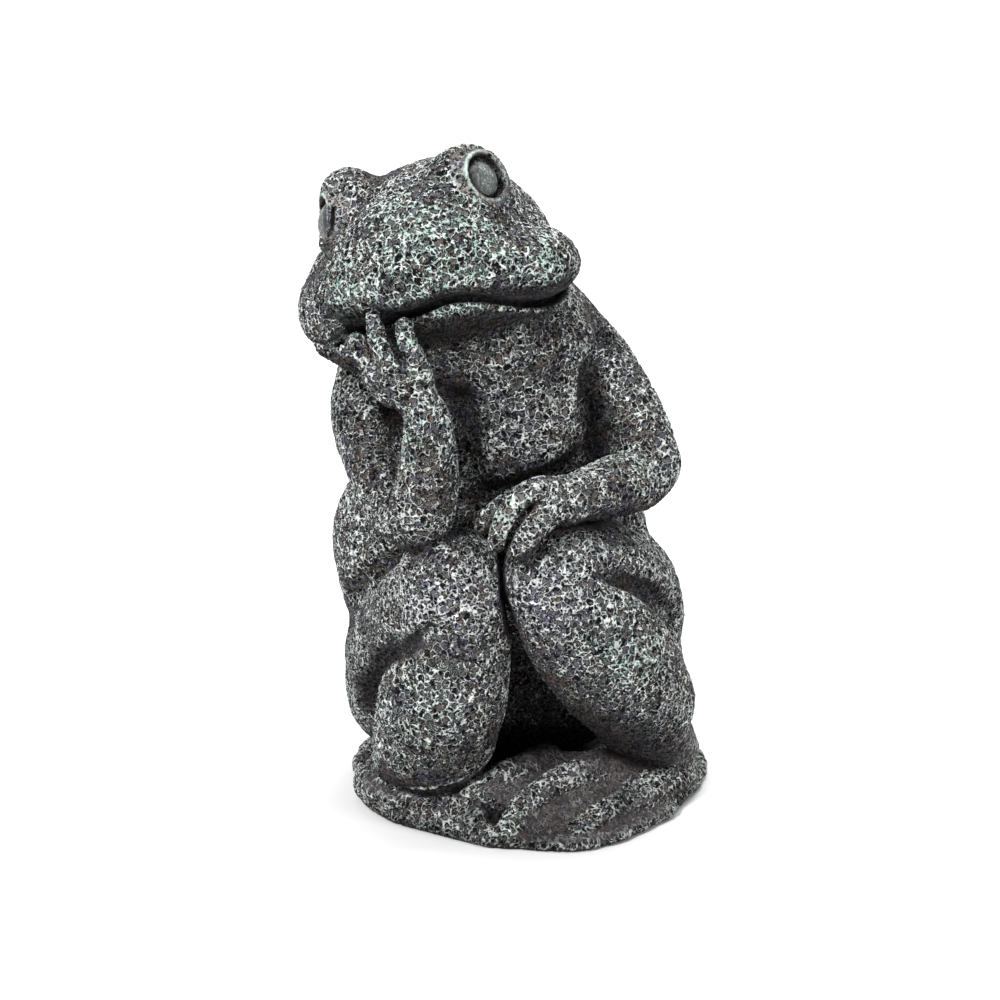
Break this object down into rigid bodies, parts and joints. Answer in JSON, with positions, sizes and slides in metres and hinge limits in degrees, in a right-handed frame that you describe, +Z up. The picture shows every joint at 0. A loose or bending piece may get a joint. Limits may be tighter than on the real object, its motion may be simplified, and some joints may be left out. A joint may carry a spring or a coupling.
{
  "type": "frog figurine",
  "caption": "Stone-look garden figurine of a seated frog resting its chin on its raised hand, on a low ground slab.",
  "frame": {"origin": "middle of the figure's footprint box, on the plane it stands on", "axes": "+Z up, -Y the way the figure's knees face, +X towards the figure's left side"},
  "size_m": [0.1592, 0.1498, 0.2591],
  "materials": {
    "painted_stone": "matte, dark grey paint with pale green dry-brushed ridges over a crackled cast surface",
    "polished_eye": "smooth satin, dark grey with a paler centre",
    "raw_cement": "matte, unpainted cast cement",
    "steel_pin": "plain drawn rod"
  },
  "bodies": {
    "root": {"torso": "painted_stone", "head": "painted_stone", "right_eye": "polished_eye", "left_eye": "polished_eye", "right_arm": "painted_stone", "left_arm": "painted_stone", "right_leg": "painted_stone", "left_leg": "painted_stone", "right_foot": "painted_stone", "left_foot": "painted_stone", "ground_slab": "painted_stone", "bottom_plate": "raw_cement", "neck_dowel": "steel_pin", "arm_dowels": "steel_pin", "leg_dowels": "steel_pin"}
  },
  "joints": []
}
